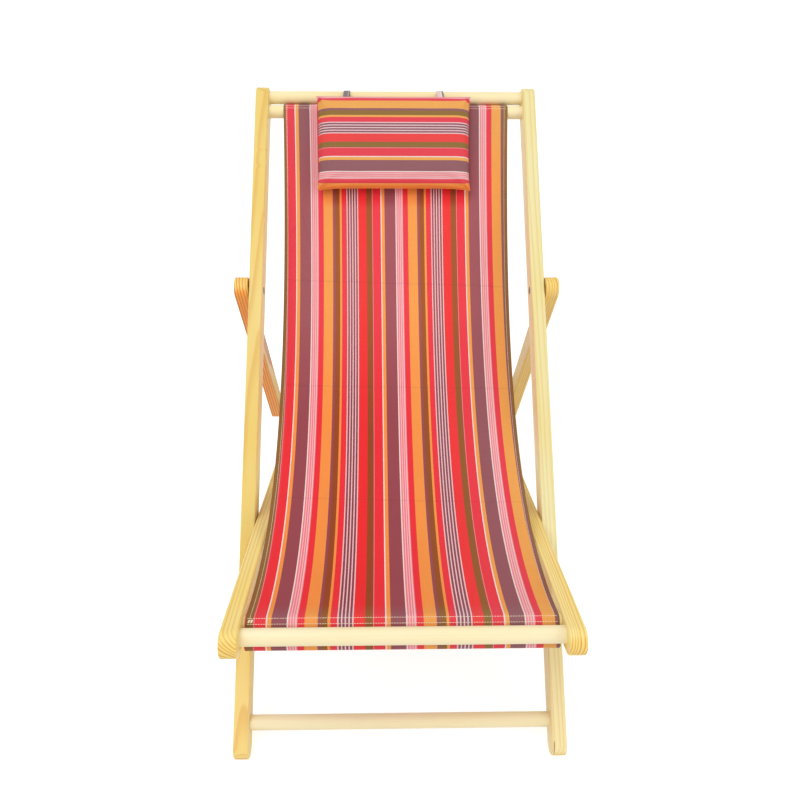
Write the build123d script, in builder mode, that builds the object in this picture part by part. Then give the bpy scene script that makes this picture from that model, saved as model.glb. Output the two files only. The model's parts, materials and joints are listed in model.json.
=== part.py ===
"""Folding sling deck chair: three nested pine frames, a striped canvas sling and a headrest pillow.

The chair faces -Y and +Z is up. The origin is on the floor, under the middle of its outer box.
All sizes are in millimetres.
"""

import os
from math import acos, asinh, atan, atan2, cos, cosh, degrees, hypot, pi, sin, sinh, sqrt

from build123d import *

os.makedirs("parts", exist_ok=True)

# Rails: straight pine bars with full-round ends
rail_thickness = 24
rail_depth = 40
rail_edge_radius = 2.5
foot_sole_cut = 2

# Main frame: from the front feet up to the top of the back
main_rail_length = 1200
main_outer_width = 532
main_foot_to_seat_pivot = 365
main_foot_to_prop_pivot = 791
main_foot_to_stretcher = 55
top_dowel_inset = 18
top_dowel_pitch = 30

# Seat frame: from the front edge of the seat back to the rear feet, inside the main frame
seat_rail_length = 1200
seat_front_to_pivot = 335
seat_front_dowel_inset = 32
seat_dowel_pitch = 30
seat_rear_stretcher_inset = 60

# Prop frame: outside the main frame, with a bar that lies in the notches of the seat rails
prop_reach = 479
prop_top_overhang = 27
prop_bottom_overhang = 30

# Notches: a shelf for the bar, with a steep wall behind it
notch_reach = 555
notch_pitch = 56
notch_count = 3
notch_depth = 5
notch_front_room = 1
notch_rear_room = 14
notch_corner_radius = 3
bar_seat_gap = 0.3

# Dowels and their shouldered tenons
dowel_diameter = 24
tenon_diameter = 16
tenon_length = 15
socket_depth = 16
glue_gap = 0.05
dowel_end_chamfer = 1

# Pivot hardware: a bolt, a round nut and a washer between the rails at each pivot
bolt_diameter = 8
bolt_head_diameter = 14
bolt_head_height = 3
nut_diameter = 14
nut_height = 5
washer_diameter = 22
washer_thickness = 1.5
nut_cap = 1.2
hardware_recess_gap = 0.3
running_gap = 0.05
face_gap = 0.1
thread_gap = 0.03

# Canvas sling, hanging in a catenary from the dowel pairs
sling_side_room = 3.3
cloth_thickness = 1.2
catenary_size = 470
cloth_gap = 0.3
hem_rod_diameter = 20
sling_arcs = 8

# Headrest pillow: a foam slab in a cover of two panels with one seam round it, hung on two straps
pillow_width = 290
pillow_length = 175
pillow_seam_height = 17
pillow_face_height = 14
pillow_face_inset = 8
pillow_back_inset = 7
pillow_edge_round = 4
pillow_crown = 3
pillow_draw_in = 4
pillow_top_draw_in = 1
pillow_cover_thickness = 1.5
pillow_offset = -4.5
pillow_top_rise = 20
pillow_seat_gap = 0.6
strap_width = 12
strap_spacing = 178
sewn_gap = 0.3
strap_sewn_gap = 0.8

# Widths across the three frames
rail_radius = rail_depth / 2
dowel_radius = dowel_diameter / 2
tenon_radius = tenon_diameter / 2
rail_gap = washer_thickness + 2 * face_gap
main_inner = main_outer_width / 2 - rail_thickness
seat_outer = main_inner - rail_gap
seat_inner = seat_outer - rail_thickness
prop_inner = main_outer_width / 2 + rail_gap
prop_outer = prop_inner + rail_thickness
sling_width = 2 * (seat_inner - sling_side_room)

# Slopes: the bar in its notch fixes the angle between the frames, the four feet fix the rest
pivot_spacing = main_foot_to_prop_pivot - main_foot_to_seat_pivot
bar_height = rail_radius - notch_depth + bar_seat_gap + dowel_radius
bar_distance = hypot(notch_reach, bar_height)
prop_cosine = (pivot_spacing**2 + bar_distance**2 - prop_reach**2) / (2 * pivot_spacing * bar_distance)
frame_angle = acos(prop_cosine) + atan2(bar_height, notch_reach)
front_leg = main_foot_to_seat_pivot - rail_radius
rear_leg = seat_rail_length - seat_front_to_pivot - rail_radius
seat_slope = atan2(front_leg * sin(frame_angle), rear_leg + front_leg * cos(frame_angle))
main_slope = frame_angle - seat_slope

# Side view places, as (y, z)
seat_front_reach = (seat_front_to_pivot - rail_radius) * cos(seat_slope) + rail_radius
main_front_reach = front_leg * cos(main_slope) + rail_radius
main_rear_reach = (main_rail_length - main_foot_to_seat_pivot - rail_radius) * cos(main_slope) + rail_radius
seat_rear_reach = rear_leg * cos(seat_slope) + rail_radius
seat_pivot_y = (max(seat_front_reach, main_front_reach) - max(seat_rear_reach, main_rear_reach)) / 2
seat_pivot_z = rail_radius - foot_sole_cut + front_leg * sin(main_slope)
seat_pivot = (seat_pivot_y, seat_pivot_z)


def place(start, slope, distance, rise=0):
    """The point at a distance along a sloping line, and a rise square to it."""
    y = start[0] + distance * cos(slope) - rise * sin(slope)
    z = start[1] + distance * sin(slope) + rise * cos(slope)
    return (y, z)


def side_plane(x, point, slope):
    """A plane facing +X whose own x axis runs along a rail."""
    return Plane(origin=(x, *point), x_dir=(0, cos(slope), sin(slope)), z_dir=(1, 0, 0))


prop_pivot = place(seat_pivot, main_slope, pivot_spacing)
bar_place = place(seat_pivot, -seat_slope, notch_reach, bar_height)
prop_slope = atan2(bar_place[1] - prop_pivot[1], bar_place[0] - prop_pivot[0])
main_top = main_rail_length - main_foot_to_seat_pivot
upper_dowel = place(seat_pivot, main_slope, main_top - top_dowel_inset)
lower_dowel = place(seat_pivot, main_slope, main_top - top_dowel_inset - top_dowel_pitch)
stretcher = place(seat_pivot, main_slope, main_foot_to_stretcher - main_foot_to_seat_pivot)
front_dowel = place(seat_pivot, -seat_slope, seat_front_dowel_inset - seat_front_to_pivot)
inner_dowel = place(seat_pivot, -seat_slope, seat_front_dowel_inset + seat_dowel_pitch - seat_front_to_pivot)
rear_stretcher_reach = seat_rail_length - seat_front_to_pivot - seat_rear_stretcher_inset
rear_stretcher = place(seat_pivot, -seat_slope, rear_stretcher_reach)

main_plane = side_plane(main_inner, seat_pivot, main_slope)
seat_plane = side_plane(seat_inner, seat_pivot, -seat_slope)
prop_plane = side_plane(prop_inner, prop_pivot, prop_slope)


def rail(plane, start, length, sockets):
    """A bar with full-round ends and eased edges, with a blind socket for each dowel."""
    with BuildPart() as bar:
        with BuildSketch(plane):
            with Locations((start + length / 2, 0)):
                SlotOverall(length, rail_depth)
        extrude(amount=rail_thickness)
        fillet(bar.faces().filter_by(Axis.X).edges(), rail_edge_radius)
        with BuildSketch(plane):
            with Locations(*[(socket, 0) for socket in sockets]):
                Circle(tenon_radius + glue_gap)
        extrude(amount=socket_depth, mode=Mode.SUBTRACT)
    return bar.part


def bolt_hole(plane, reach):
    """A through hole for a pivot bolt, to be cut from a rail."""
    with BuildPart() as hole:
        with BuildSketch(plane):
            with Locations((reach, 0)):
                Circle(bolt_diameter / 2 + running_gap)
        extrude(amount=rail_thickness)
    return hole.part


def recess(plane, reach, diameter, depth):
    """A round recess for a bolt head or a nut, cut inwards from a plane."""
    with BuildPart() as pocket:
        with BuildSketch(plane):
            with Locations((reach, 0)):
                Circle(diameter / 2 + hardware_recess_gap)
        extrude(amount=depth)
    return pocket.part


head_recess = bolt_head_height + hardware_recess_gap
nut_recess = nut_height + hardware_recess_gap

# Main rails: the bolt heads of the prop pivots lie inside, the nuts of the seat pivots outside
main_sockets = [
    main_foot_to_stretcher - main_foot_to_seat_pivot,
    main_top - top_dowel_inset - top_dowel_pitch,
    main_top - top_dowel_inset,
]
with BuildPart() as main_rail_right:
    add(rail(main_plane, -main_foot_to_seat_pivot, main_rail_length, main_sockets))
    add(bolt_hole(main_plane, 0), mode=Mode.SUBTRACT)
    add(bolt_hole(main_plane, pivot_spacing), mode=Mode.SUBTRACT)
    add(recess(main_plane, pivot_spacing, bolt_head_diameter, head_recess), mode=Mode.SUBTRACT)
    add(recess(main_plane.offset(rail_thickness), 0, nut_diameter, -nut_recess), mode=Mode.SUBTRACT)
    split(bisect_by=Plane.XY, keep=Keep.TOP)

# Seat rails: dowel sockets at both ends, bolt heads inside, and the notches on the upper edge
seat_sockets = [
    seat_front_dowel_inset - seat_front_to_pivot,
    seat_front_dowel_inset + seat_dowel_pitch - seat_front_to_pivot,
    rear_stretcher_reach,
]
notch_width = notch_front_room + dowel_diameter + notch_rear_room
notch_middle = notch_reach + (notch_rear_room - notch_front_room) / 2
with BuildPart() as seat_rail_right:
    add(rail(seat_plane, -seat_front_to_pivot, seat_rail_length, seat_sockets))
    add(bolt_hole(seat_plane, 0), mode=Mode.SUBTRACT)
    add(recess(seat_plane, 0, bolt_head_diameter, head_recess), mode=Mode.SUBTRACT)
    with BuildSketch(seat_plane):
        for step in range(notch_count):
            with Locations((notch_middle - step * notch_pitch, rail_radius)):
                RectangleRounded(notch_width, 2 * notch_depth, notch_corner_radius)
    extrude(amount=rail_thickness, mode=Mode.SUBTRACT)
    split(bisect_by=Plane.XY, keep=Keep.TOP)

# Prop rails: one socket for the bar, and the nuts of the prop pivots outside
prop_rail_length = prop_top_overhang + prop_reach + prop_bottom_overhang
with BuildPart() as prop_rail_right:
    add(rail(prop_plane, -prop_top_overhang, prop_rail_length, [prop_reach]))
    add(bolt_hole(prop_plane, 0), mode=Mode.SUBTRACT)
    add(recess(prop_plane.offset(rail_thickness), 0, nut_diameter, -nut_recess), mode=Mode.SUBTRACT)

with BuildPart() as main_rail_left:
    mirror(main_rail_right.part, about=Plane.YZ)
with BuildPart() as seat_rail_left:
    mirror(seat_rail_right.part, about=Plane.YZ)
with BuildPart() as prop_rail_left:
    mirror(prop_rail_right.part, about=Plane.YZ)


def dowel(point, shoulder):
    """A round bar between two rails, with a tenon at each end."""
    with BuildPart() as bar:
        with BuildSketch(side_plane(0, point, 0)):
            Circle(dowel_radius)
        extrude(amount=shoulder, both=True)
        with BuildSketch(side_plane(0, point, 0)):
            Circle(tenon_radius)
        extrude(amount=shoulder + tenon_length, both=True)
        ends = bar.faces().filter_by(Axis.X).sort_by(Axis.X)
        chamfer((ends[0] + ends[-1]).edges(), dowel_end_chamfer)
    return bar.part


def pivot_bolts(point, head_face, grip):
    """A pair of bolts whose flat heads lie flush with the inner face of the inner rails."""
    with BuildPart() as bolts:
        with BuildSketch(side_plane(head_face, point, 0)):
            Circle(bolt_head_diameter / 2)
        extrude(amount=bolt_head_height)
        with BuildSketch(side_plane(head_face, point, 0)):
            Circle(bolt_diameter / 2)
        extrude(amount=grip)
        mirror(about=Plane.YZ)
    return bolts.part


def pivot_nuts(point, nut_face):
    """A pair of round capped nuts, flush with the outer face of the outer rails."""
    with BuildPart() as nuts:
        with BuildSketch(side_plane(nut_face, point, 0)):
            Circle(nut_diameter / 2)
        extrude(amount=-nut_height)
        with BuildSketch(side_plane(nut_face - nut_height, point, 0)):
            Circle(bolt_diameter / 2 + thread_gap)
        extrude(amount=nut_height - nut_cap, mode=Mode.SUBTRACT)
        mirror(about=Plane.YZ)
    return nuts.part


def pivot_washers(point, face):
    """A pair of washers that keep two rails apart."""
    with BuildPart() as washers:
        with BuildSketch(side_plane(face, point, 0)):
            Circle(washer_diameter / 2)
            Circle(bolt_diameter / 2 + running_gap, mode=Mode.SUBTRACT)
        extrude(amount=washer_thickness)
        mirror(about=Plane.YZ)
    return washers.part


bolt_grip = 2 * rail_thickness + rail_gap - nut_cap - thread_gap

# The sling hangs from the lower top dowel to the inner seat dowel, tangent to both
wrap_radius = dowel_radius + cloth_gap + cloth_thickness / 2
front_end = place(inner_dowel, 0, 0, wrap_radius)
back_end = place(lower_dowel, 0, 0, wrap_radius)
for _ in range(40):
    span = back_end[0] - front_end[0]
    climb = back_end[1] - front_end[1]
    lean = catenary_size * asinh(climb / (2 * catenary_size * sinh(span / (2 * catenary_size))))
    low_y = (front_end[0] + back_end[0]) / 2 - lean
    front_turn = (front_end[0] - low_y) / catenary_size
    back_turn = (back_end[0] - low_y) / catenary_size
    front_end = place(inner_dowel, atan(sinh(front_turn)), 0, wrap_radius)
    back_end = place(lower_dowel, atan(sinh(back_turn)), 0, wrap_radius)
low_z = front_end[1] - catenary_size * (cosh(front_turn) - 1)
half_cloth = cloth_thickness / 2


def hang(turn, rise):
    """A point of the hanging sling, raised square to it."""
    point = (low_y + catenary_size * turn, low_z + catenary_size * (cosh(turn) - 1))
    return place(point, atan(sinh(turn)), 0, rise)


def hung_edge(rise):
    """One face of the sling in side view, as arcs through points of the catenary."""
    step = (back_turn - front_turn) / sling_arcs
    for arc in range(sling_arcs):
        ThreePointArc(*[hang(front_turn + (arc + half) * step, rise) for half in (0, 0.5, 1)])


def wrap(centre, start, turn):
    """A sector of cloth round a dowel."""
    inner = [place(centre, start + turn * half, wrap_radius - half_cloth) for half in (0, 0.5, 1)]
    outer = [place(centre, start + turn * half, wrap_radius + half_cloth) for half in (0, 0.5, 1)]
    with BuildSketch() as sector:
        with BuildLine():
            ThreePointArc(*inner)
            ThreePointArc(*outer)
            Line(inner[0], outer[0])
            Line(inner[2], outer[2])
        make_face()
    return sector.sketch


# Hem pockets: sewn tubes round loose rods, too thick to slip out between two dowels
rod_radius = hem_rod_diameter / 2
pocket_inner = rod_radius + cloth_gap
pocket_outer = pocket_inner + cloth_thickness
dowel_room = dowel_radius + cloth_gap + pocket_outer
strap_room = dowel_room + cloth_thickness + cloth_gap


def pocket_place(near, far, near_room, far_room):
    """Where a hem pocket lies against two dowels, to the right of the line from near to far."""
    gap = hypot(far[0] - near[0], far[1] - near[1])
    slope = atan2(far[1] - near[1], far[0] - near[0])
    along = (gap**2 + near_room**2 - far_room**2) / (2 * gap)
    return place(near, slope, along, -sqrt(near_room**2 - along**2))


def hem(near, slope, pocket, side):
    """The cloth between a dowel pair, and the tube at its end."""
    start = place(near, slope, wrap_radius)
    along = (pocket[0] - start[0]) * cos(slope) + (pocket[1] - start[1]) * sin(slope)
    away = abs((pocket[1] - start[1]) * cos(slope) - (pocket[0] - start[0]) * sin(slope))
    reach = side * (away - sqrt((pocket_inner + half_cloth) ** 2 - along**2))
    with BuildSketch() as loop:
        with BuildLine():
            Polyline(
                place(start, slope, -half_cloth),
                place(start, slope, half_cloth),
                place(start, slope, half_cloth, reach),
                place(start, slope, -half_cloth, reach),
                close=True,
            )
        make_face()
        with Locations(pocket):
            Circle(pocket_outer)
            Circle(pocket_inner, mode=Mode.SUBTRACT)
    return loop.sketch


top_pocket = pocket_place(lower_dowel, upper_dowel, dowel_room, strap_room)
front_pocket = pocket_place(front_dowel, inner_dowel, dowel_room, dowel_room)
front_heading = pi - seat_slope
back_wrap = pi / 2 + atan(sinh(back_turn)) - main_slope
front_wrap = front_heading - pi / 2 - atan(sinh(front_turn))

with BuildPart() as canvas_sling:
    with BuildSketch(Plane.YZ):
        with BuildLine():
            hung_edge(-half_cloth)
            hung_edge(half_cloth)
            Line(hang(front_turn, -half_cloth), hang(front_turn, half_cloth))
            Line(hang(back_turn, -half_cloth), hang(back_turn, half_cloth))
        make_face()
        add(wrap(lower_dowel, main_slope, back_wrap))
        add(wrap(inner_dowel, front_heading, -front_wrap))
        add(hem(lower_dowel, main_slope, top_pocket, -1))
        add(hem(inner_dowel, front_heading, front_pocket, 1))
    extrude(amount=sling_width / 2, both=True)


def hem_rod(point):
    """A loose rod in a hem pocket, as long as the sling is wide."""
    with BuildPart() as rod:
        with BuildSketch(side_plane(0, point, 0)):
            Circle(rod_radius)
        extrude(amount=sling_width / 2, both=True)
        chamfer(rod.faces().filter_by(Axis.X).edges(), dowel_end_chamfer)
    return rod.part


# The pillow lies on the sling just below the top dowels, with its back flat
pillow_foot_turn = asinh(sinh(back_turn) - (pillow_length - pillow_top_rise) / catenary_size)
pillow_head = hang(back_turn, half_cloth + pillow_seat_gap)
pillow_foot = hang(pillow_foot_turn, half_cloth + pillow_seat_gap)
pillow_slope = atan2(pillow_head[1] - pillow_foot[1], pillow_head[0] - pillow_foot[0])
pillow_middle = place(pillow_head, pillow_slope, pillow_top_rise - pillow_length / 2)
seam_plane = Plane(
    origin=(pillow_offset, *place(pillow_middle, pillow_slope, 0, pillow_seam_height)),
    x_dir=(1, 0, 0),
    z_dir=(0, -sin(pillow_slope), cos(pillow_slope)),
)


def cushion(inset):
    """A cushion sewn along one rim, which draws in between its corners; the face and the back are smaller."""
    levels = (
        (inset - pillow_seam_height, inset + pillow_back_inset),
        (0, inset),
        (pillow_face_height + 2 * pillow_crown - inset, inset + pillow_face_inset),
    )
    edge = pillow_seam_height + pillow_face_height - inset
    with BuildPart() as pad:
        for lower, upper in zip(levels, levels[1:]):
            for height, drawn in (lower, upper):
                x, y = pillow_width / 2 - drawn, pillow_length / 2 - drawn
                with BuildSketch(seam_plane.offset(height)):
                    with BuildLine():
                        ThreePointArc((-x, -y), (0, pillow_draw_in - y), (x, -y))
                        ThreePointArc((x, -y), (x - pillow_draw_in, 0), (x, y))
                        ThreePointArc((x, y), (0, y - pillow_top_draw_in), (-x, y))
                        ThreePointArc((-x, y), (pillow_draw_in - x, 0), (-x, -y))
                    make_face()
            loft(ruled=True)
        with BuildSketch(side_plane(pillow_offset, pillow_middle, pillow_slope)):
            with BuildLine():
                Polyline((-pillow_length, edge), (-pillow_length, 0), (pillow_length, 0), (pillow_length, edge))
                Line((-pillow_length, edge), (-pillow_length / 2, edge))
                ThreePointArc((-pillow_length / 2, edge), (0, edge + pillow_crown), (pillow_length / 2, edge))
                Line((pillow_length / 2, edge), (pillow_length, edge))
            make_face()
        extrude(amount=pillow_width, both=True, mode=Mode.INTERSECT)
        face = pad.faces().sort_by(Axis(seam_plane.origin, seam_plane.z_dir))[-1]
        fillet(face.edges(), pillow_edge_round - inset)
    return pad.part


with BuildPart() as pillow_cover:
    add(cushion(0))
    add(cushion(pillow_cover_thickness), mode=Mode.SUBTRACT)
pillow_filling = cushion(pillow_cover_thickness + sewn_gap)

# Each strap is sewn to the pillow's upper side and loops round the upper dowel
strap_share = strap_spacing / pillow_width
strap_root_reach = pillow_length / 2 - pillow_top_draw_in * (1 - strap_share**2) + strap_sewn_gap
strap_root = place(pillow_middle, pillow_slope, strap_root_reach, pillow_seam_height)
root_distance = hypot(strap_root[0] - upper_dowel[0], strap_root[1] - upper_dowel[1])
root_heading = atan2(strap_root[1] - upper_dowel[1], strap_root[0] - upper_dowel[0])
strap_touch = place(upper_dowel, root_heading - acos(wrap_radius / root_distance), wrap_radius)
strap_slope = atan2(strap_touch[1] - strap_root[1], strap_touch[0] - strap_root[0])


def strap(x):
    """A strap loop round the upper dowel, with a tail to the pillow."""
    with BuildPart() as loop:
        with BuildSketch(Plane.YZ.offset(x)):
            with BuildLine():
                Polyline(
                    place(strap_root, strap_slope, 0, -half_cloth),
                    place(strap_root, strap_slope, 0, half_cloth),
                    place(strap_touch, strap_slope, 0, half_cloth),
                    place(strap_touch, strap_slope, 0, -half_cloth),
                    close=True,
                )
            make_face()
            with Locations(upper_dowel):
                Circle(wrap_radius + half_cloth)
                Circle(wrap_radius - half_cloth, mode=Mode.SUBTRACT)
        extrude(amount=strap_width / 2, both=True)
    return loop.part


pieces = {
    "main_rail_left": main_rail_left.part,
    "main_rail_right": main_rail_right.part,
    "top_dowel_upper": dowel(upper_dowel, main_inner),
    "top_dowel_lower": dowel(lower_dowel, main_inner),
    "foot_stretcher": dowel(stretcher, main_inner),
    "seat_rail_left": seat_rail_left.part,
    "seat_rail_right": seat_rail_right.part,
    "seat_front_dowel": dowel(front_dowel, seat_inner),
    "seat_inner_dowel": dowel(inner_dowel, seat_inner),
    "seat_rear_stretcher": dowel(rear_stretcher, seat_inner),
    "prop_rail_left": prop_rail_left.part,
    "prop_rail_right": prop_rail_right.part,
    "prop_crossbar": dowel(bar_place, prop_inner),
    "seat_pivot_bolts": pivot_bolts(seat_pivot, seat_inner, bolt_grip),
    "seat_pivot_nuts": pivot_nuts(seat_pivot, main_outer_width / 2),
    "seat_pivot_washers": pivot_washers(seat_pivot, seat_outer + face_gap),
    "prop_pivot_bolts": pivot_bolts(prop_pivot, main_inner, bolt_grip),
    "prop_pivot_nuts": pivot_nuts(prop_pivot, prop_outer),
    "prop_pivot_washers": pivot_washers(prop_pivot, main_outer_width / 2 + face_gap),
    "canvas_sling": canvas_sling.part,
    "top_hem_rod": hem_rod(top_pocket),
    "front_hem_rod": hem_rod(front_pocket),
    "pillow_cover": pillow_cover.part,
    "pillow_filling": pillow_filling,
    "headrest_strap_left": strap(pillow_offset - strap_spacing / 2),
    "headrest_strap_right": strap(pillow_offset + strap_spacing / 2),
}
for name, piece in pieces.items():
    piece.label = name
    export_step(piece, f"parts/{name}.step")

main_foot = place(seat_pivot, main_slope, -front_leg)
seat_foot = place(seat_pivot, -seat_slope, rear_leg)
sling_length = catenary_size * (sinh(back_turn) - sinh(front_turn))
print("slopes", *[round(degrees(slope), 3) for slope in (main_slope, seat_slope, prop_slope)])
print("seat pivot", seat_pivot, "prop pivot", prop_pivot, "upper dowel", upper_dowel)
print("main foot", main_foot, "seat foot", seat_foot, "bar", bar_place)
print("sling between dowels", round(sling_length, 1), "low point", low_y, low_z)
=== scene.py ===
# %% [markdown]
# # A folding sling deck chair
#
# This is a classic wooden deck chair. Two long pine frames cross at a bolted pivot, a short prop
# frame hooks into notches behind the seat, and a strip of striped canvas hangs between the top of
# the back and the front of the seat. A small cushion hangs from the top dowel as a headrest.
#
# The wooden and steel parts come from the CAD model and stay where it puts them. Blender adds what
# CAD is poor at: cloth, the sewn cushion, thread, the grain of the wood and light. Everything is in
# metres, in the CAD model's frame. The chair faces -Y and +Z is up.

# %% Load the fixed frame
import json
import math

import bpy
from mathutils import Matrix, Vector

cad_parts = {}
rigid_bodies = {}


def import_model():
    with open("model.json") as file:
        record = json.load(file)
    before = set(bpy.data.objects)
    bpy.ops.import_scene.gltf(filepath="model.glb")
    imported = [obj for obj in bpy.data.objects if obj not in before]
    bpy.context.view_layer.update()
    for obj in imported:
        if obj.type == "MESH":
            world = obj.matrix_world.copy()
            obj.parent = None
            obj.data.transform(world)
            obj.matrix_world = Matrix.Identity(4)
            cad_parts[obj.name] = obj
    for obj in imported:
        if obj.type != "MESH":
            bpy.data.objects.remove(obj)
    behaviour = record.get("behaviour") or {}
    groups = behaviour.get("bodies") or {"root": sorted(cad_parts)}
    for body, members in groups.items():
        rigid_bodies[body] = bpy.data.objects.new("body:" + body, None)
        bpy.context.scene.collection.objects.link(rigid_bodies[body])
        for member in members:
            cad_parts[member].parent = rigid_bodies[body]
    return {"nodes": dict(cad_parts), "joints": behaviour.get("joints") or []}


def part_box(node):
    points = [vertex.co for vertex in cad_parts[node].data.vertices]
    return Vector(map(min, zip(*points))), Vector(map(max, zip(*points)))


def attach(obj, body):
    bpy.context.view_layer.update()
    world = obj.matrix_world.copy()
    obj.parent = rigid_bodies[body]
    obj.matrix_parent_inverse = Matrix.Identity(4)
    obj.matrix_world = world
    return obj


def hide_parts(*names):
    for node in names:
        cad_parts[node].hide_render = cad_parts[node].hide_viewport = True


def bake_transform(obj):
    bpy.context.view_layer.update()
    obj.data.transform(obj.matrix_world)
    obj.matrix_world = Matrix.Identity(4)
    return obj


for leftover in list(bpy.data.objects):
    bpy.data.objects.remove(leftover)
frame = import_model()
nodes = frame["nodes"]
joints = {joint["name"]: joint for joint in frame["joints"]}
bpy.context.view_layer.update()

# %% [markdown]
# ## Reading the chair's skeleton from the frame
#
# Seen from the side, a deck chair is a few straight lines. Slopes that are typed in twice drift
# apart, so the script measures the frame instead: a dowel's middle is the middle of its box, a
# pivot's place is in the joint list, and a rail's slope leads from its pivot to a dowel that it
# holds.
#
# Side view points are pairs of y and z. `place` walks along a slope, and then square to it.


# %% Side view skeleton
def place(start, slope, distance, rise=0.0):
    """The point at a distance along a sloping line, and a rise square to it."""
    y = start[0] + distance * math.cos(slope) - rise * math.sin(slope)
    z = start[1] + distance * math.sin(slope) + rise * math.cos(slope)
    return (y, z)


def dowel_middle(name):
    """Side view middle of a round bar, from its box."""
    low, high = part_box(name)
    return ((low.y + high.y) / 2, (low.z + high.z) / 2)


def slope_between(start, end):
    """The slope of the line between two side view points."""
    return math.atan2(end[1] - start[1], end[0] - start[0])


seat_pivot = tuple(joints["seat_fold"]["pos_m"][1:])
prop_pivot = tuple(joints["prop_fold"]["pos_m"][1:])
upper_dowel = dowel_middle("top_dowel_upper")
lower_dowel = dowel_middle("top_dowel_lower")
inner_dowel = dowel_middle("seat_inner_dowel")
top_rod = dowel_middle("top_hem_rod")
front_rod = dowel_middle("front_hem_rod")
main_slope = slope_between(seat_pivot, upper_dowel)
seat_slope = slope_between(seat_pivot, dowel_middle("seat_rear_stretcher"))
prop_slope = slope_between(prop_pivot, dowel_middle("prop_crossbar"))
print("slopes", [round(math.degrees(s), 2) for s in (main_slope, seat_slope, prop_slope)])

# %% [markdown]
# ## Shader maths as plain expressions
#
# A finish is a web of nodes, and wiring each Math node by hand hides the idea behind the wires. So
# one small class wraps a socket and turns Python signs into Math nodes, which lets us write an
# expression like `1 - mask`. A second class holds one material, and its method `node` makes every
# other kind of node: first its settings, then the values or links of its sockets.


# %% Socket class
def maths(operation):
    """A method that adds one Math node and gives back its result."""

    def method(self, *others):
        sockets = dict(enumerate((self, *others)))
        return self.finish.node("ShaderNodeMath", {"operation": operation}, sockets)

    return method


class Value:
    """A number that changes over the surface: one output socket of a material's nodes."""

    __add__ = __radd__ = maths("ADD")
    __sub__ = maths("SUBTRACT")
    __mul__ = __rmul__ = maths("MULTIPLY")
    __truediv__ = maths("DIVIDE")
    times_plus = maths("MULTIPLY_ADD")
    fraction = maths("FRACT")
    size = maths("ABSOLUTE")
    sine = maths("SINE")
    root = maths("SQRT")
    lower_of = maths("MINIMUM")
    upper_of = maths("MAXIMUM")

    def __init__(self, finish, socket):
        self.finish = finish
        self.socket = socket

    def __rsub__(self, other):
        return self.times_plus(-1.0, other)

    def step(self, low, high):
        """A soft step from 0 at low to 1 at high."""
        settings = {"interpolation_type": "SMOOTHSTEP"}
        sockets = {"Value": self, "From Min": low, "From Max": high}
        return self.finish.node("ShaderNodeMapRange", settings, sockets)


# %% Material class
class Finish:
    """The nodes of one material, or of the world, built one by one."""

    def __init__(self, name, kind=bpy.data.materials):
        self.owner = kind.new(name)
        self.owner.use_nodes = True
        self.tree = self.owner.node_tree
        self.tree.nodes.clear()

    def node(self, kind, settings=None, sockets=None, output=0):
        """Adds a node, sets it up, feeds its sockets and gives back one of its outputs."""
        made = self.tree.nodes.new(kind)
        for key, value in (settings or {}).items():
            if key == "stops":
                self.set_stops(made.color_ramp, value)
            else:
                setattr(made, key, value)
        for key, value in (sockets or {}).items():
            if isinstance(value, Value):
                self.tree.links.new(value.socket, made.inputs[key])
            else:
                made.inputs[key].default_value = value
        if not len(made.outputs):
            return None
        return Value(self, made.outputs[output])

    def set_stops(self, ramp, stops):
        """Fills a colour ramp with hard steps, from (position, colour) pairs."""
        ramp.interpolation = "CONSTANT"
        while len(ramp.elements) > 1:
            ramp.elements.remove(ramp.elements[-1])
        ramp.elements[0].position = stops[0][0]
        ramp.elements[0].color = stops[0][1]
        for position, colour in stops[1:]:
            ramp.elements.new(position).color = colour

    def object_point(self):
        return self.node("ShaderNodeTexCoord", output="Object")

    def dot(self, vector, direction):
        """How far a vector reaches along a direction."""
        settings = {"operation": "DOT_PRODUCT"}
        sockets = {0: vector, 1: tuple(direction)}
        return self.node("ShaderNodeVectorMath", settings, sockets, "Value")

    def facing(self, direction, low=0.5, high=0.9):
        """1 on the faces that look along a direction or against it."""
        normal = self.node("ShaderNodeTexCoord", output="Normal")
        return self.dot(normal, direction).size().step(low, high)

    def joined(self, x, y, z):
        """A vector from three values."""
        return self.node("ShaderNodeCombineXYZ", None, {"X": x, "Y": y, "Z": z})

    def noise(self, vector, scale, detail=2.0, roughness=0.5):
        """Soft random values around a half."""
        sockets = {"Vector": vector, "Scale": scale, "Detail": detail, "Roughness": roughness}
        return self.node("ShaderNodeTexNoise", None, sockets)

    def mix(self, share, first, second, blend="MIX"):
        """One colour over another."""
        settings = {"data_type": "RGBA", "blend_type": blend}
        return self.node("ShaderNodeMix", settings, {0: share, 6: first, 7: second}, 2)

    def bump(self, height, strength, distance):
        """A surface normal that rises and falls with a height."""
        sockets = {"Height": height, "Strength": strength, "Distance": distance}
        return self.node("ShaderNodeBump", None, sockets)

    def surface(self, colour, rough, normal, others=None):
        """The shader that everything feeds, and the material's output."""
        sockets = {"Base Color": colour, "Roughness": rough, "Normal": normal, **(others or {})}
        shader = self.node("ShaderNodeBsdfPrincipled", None, sockets)
        self.node("ShaderNodeOutputMaterial", None, {"Surface": shader})
        return self.owner


def paint(red, green, blue):
    """A colour as a paint chart gives it, from 0 to 255, in the values that shaders use."""

    def light(part):
        part = part / 255
        return part / 12.92 if part <= 0.04045 else ((part + 0.055) / 1.055) ** 2.4

    return (light(red), light(green), light(blue), 1.0)


def dress(obj, material):
    """Gives an object one material."""
    obj.data.materials.clear()
    obj.data.materials.append(material)


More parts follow.
